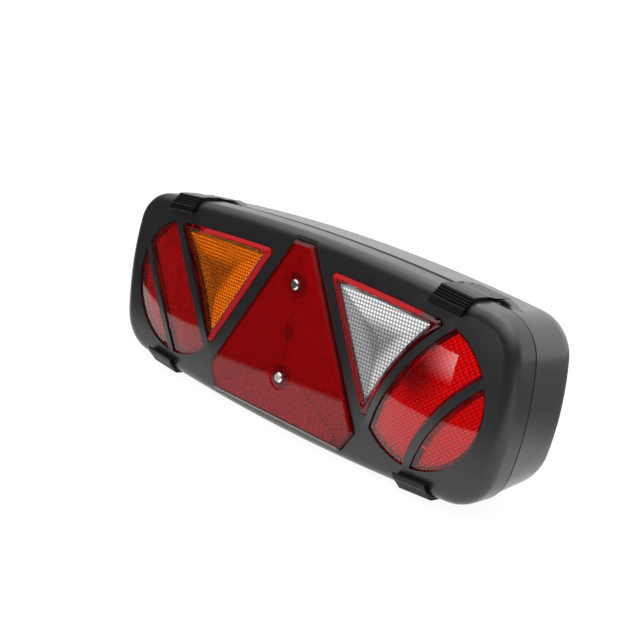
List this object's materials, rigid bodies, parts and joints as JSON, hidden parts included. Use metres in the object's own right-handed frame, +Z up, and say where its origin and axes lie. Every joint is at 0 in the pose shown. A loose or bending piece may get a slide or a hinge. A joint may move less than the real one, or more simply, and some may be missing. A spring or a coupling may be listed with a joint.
{
  "type": "tail lamp",
  "caption": "Barrel-shaped rear lamp with domed red ends, amber and clear side windows, a triangular red reflector, edge clips, bulbs inside and two studs behind.",
  "frame": {"origin": "middle of the rear mounting face, halfway between the two studs", "axes": "+X along the lamp, +Z up, +Y backwards along the studs, lenses facing -Y"},
  "size_m": [0.377, 0.1063, 0.144],
  "materials": {
    "bezel_plastic": "fine-grained black moulding",
    "housing_plastic": "satin black moulding",
    "clip_plastic": "smooth black moulding",
    "seal_rubber": "soft black foam rubber",
    "red_acrylic": "clear red, prisms inside",
    "amber_acrylic": "clear amber, pillows inside",
    "clear_acrylic": "colourless, pillows inside",
    "reflector_acrylic": "red with reflex prisms inside",
    "zinc_screw": "bright zinc",
    "silvered": "metallised plastic",
    "bulb_glass": "clear glass",
    "holder_metal": "pressed metal",
    "carrier_plastic": "white moulding",
    "contact_brass": "bright strip",
    "terminal_plastic": "dark grey moulding",
    "steel_stud": "zinc-plated steel"
  },
  "bodies": {
    "root": {"front_bezel": "bezel_plastic", "rear_housing": "housing_plastic", "housing_seal": "seal_rubber", "left_red_lens": "red_acrylic", "right_red_lens": "red_acrylic", "amber_lens": "amber_acrylic", "clear_lens": "clear_acrylic", "triangle_reflector": "reflector_acrylic", "reflector_screws": "zinc_screw", "top_left_clip": "clip_plastic", "top_right_clip": "clip_plastic", "bottom_left_clip": "clip_plastic", "bottom_right_clip": "clip_plastic", "left_carrier": "carrier_plastic", "right_carrier": "carrier_plastic", "carrier_screws": "zinc_screw", "left_contact_strip": "contact_brass", "right_contact_strip": "contact_brass", "terminal_block": "terminal_plastic", "terminal_screws": "zinc_screw", "cable_grommet": "seal_rubber", "left_stud": "steel_stud", "right_stud": "steel_stud", "indicator_reflector": "silvered", "indicator_bulb": "bulb_glass", "indicator_holder": "holder_metal", "reverse_reflector": "silvered", "reverse_bulb": "bulb_glass", "reverse_holder": "holder_metal", "stop_reflector": "silvered", "stop_bulb": "bulb_glass", "stop_holder": "holder_metal", "fog_reflector": "silvered", "fog_bulb": "bulb_glass", "fog_holder": "holder_metal"}
  },
  "joints": []
}
